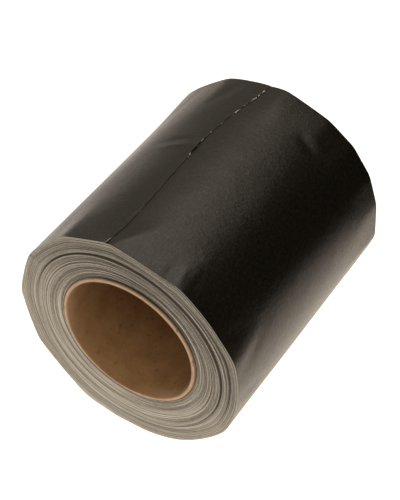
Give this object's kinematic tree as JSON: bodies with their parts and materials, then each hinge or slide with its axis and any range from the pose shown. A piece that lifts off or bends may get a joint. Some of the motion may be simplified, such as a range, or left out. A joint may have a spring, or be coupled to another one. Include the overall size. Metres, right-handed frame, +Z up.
{
  "type": "cloth tape roll",
  "caption": "Wide roll of black cloth-backed adhesive tape on a spiral-wound board core, lying on its side, with a free end that peels up from a torn edge.",
  "frame": {"origin": "on the floor, under the middle of the roll as it lies on its side", "axes": "+Z up, the roll's axis along Y with the end whose core stands proud at -Y, +X to the right seen from there; the free end lies on the -X side of the top"},
  "size_m": [0.133, 0.1464, 0.1326],
  "materials": {
    "kraft_board": "matte kraft board",
    "kraft_liner": "matte kraft paper",
    "wound_tape": "cut edges of the wound strip, matte",
    "black_film": "satin, fine woven texture",
    "scrim_cloth": "plain-woven cotton, matte",
    "adhesive": "tacky, satin"
  },
  "bodies": {
    "roll": {"core_liner_ply": "kraft_liner", "core_body_ply_1": "kraft_board", "core_body_ply_2": "kraft_board", "core_body_ply_3": "kraft_board", "core_outer_ply": "kraft_board", "inner_pack": "wound_tape", "outer_pack": "wound_tape", "last_turn_film": "black_film", "last_turn_scrim": "scrim_cloth", "last_turn_adhesive": "adhesive"},
    "tail_1": {"tail_1_film": "black_film", "tail_1_scrim": "scrim_cloth", "tail_1_adhesive": "adhesive"},
    "tail_2": {"tail_2_film": "black_film", "tail_2_scrim": "scrim_cloth", "tail_2_adhesive": "adhesive"},
    "tail_3": {"tail_3_film": "black_film", "tail_3_scrim": "scrim_cloth", "tail_3_adhesive": "adhesive"},
    "tail_4": {"tail_4_film": "black_film", "tail_4_scrim": "scrim_cloth", "tail_4_adhesive": "adhesive"},
    "tail_5": {"tail_5_film": "black_film", "tail_5_scrim": "scrim_cloth", "tail_5_adhesive": "adhesive"}
  },
  "joints": [
    {"name": "peel_1", "type": "hinge", "parent": "roll", "child": "tail_1", "pos_m": [-0.05763, 0, 0.09933], "axis": [0, -1, 0], "range_deg": [0, 24]},
    {"name": "peel_2", "type": "hinge", "parent": "tail_1", "child": "tail_2", "pos_m": [-0.05058, 0, 0.1093], "axis": [0, -1, 0], "range_deg": [0, 24]},
    {"name": "peel_3", "type": "hinge", "parent": "tail_2", "child": "tail_3", "pos_m": [-0.04183, 0, 0.11783], "axis": [0, -1, 0], "range_deg": [0, 24]},
    {"name": "peel_4", "type": "hinge", "parent": "tail_3", "child": "tail_4", "pos_m": [-0.03168, 0, 0.12462], "axis": [0, -1, 0], "range_deg": [0, 24]},
    {"name": "peel_5", "type": "hinge", "parent": "tail_4", "child": "tail_5", "pos_m": [-0.02045, 0, 0.12944], "axis": [0, -1, 0], "range_deg": [0, 24]}
  ],
  "couplings": [
    {"joint": "peel_2", "follows": "peel_1", "ratio": 1},
    {"joint": "peel_3", "follows": "peel_1", "ratio": 1},
    {"joint": "peel_4", "follows": "peel_1", "ratio": 1},
    {"joint": "peel_5", "follows": "peel_1", "ratio": 1}
  ]
}
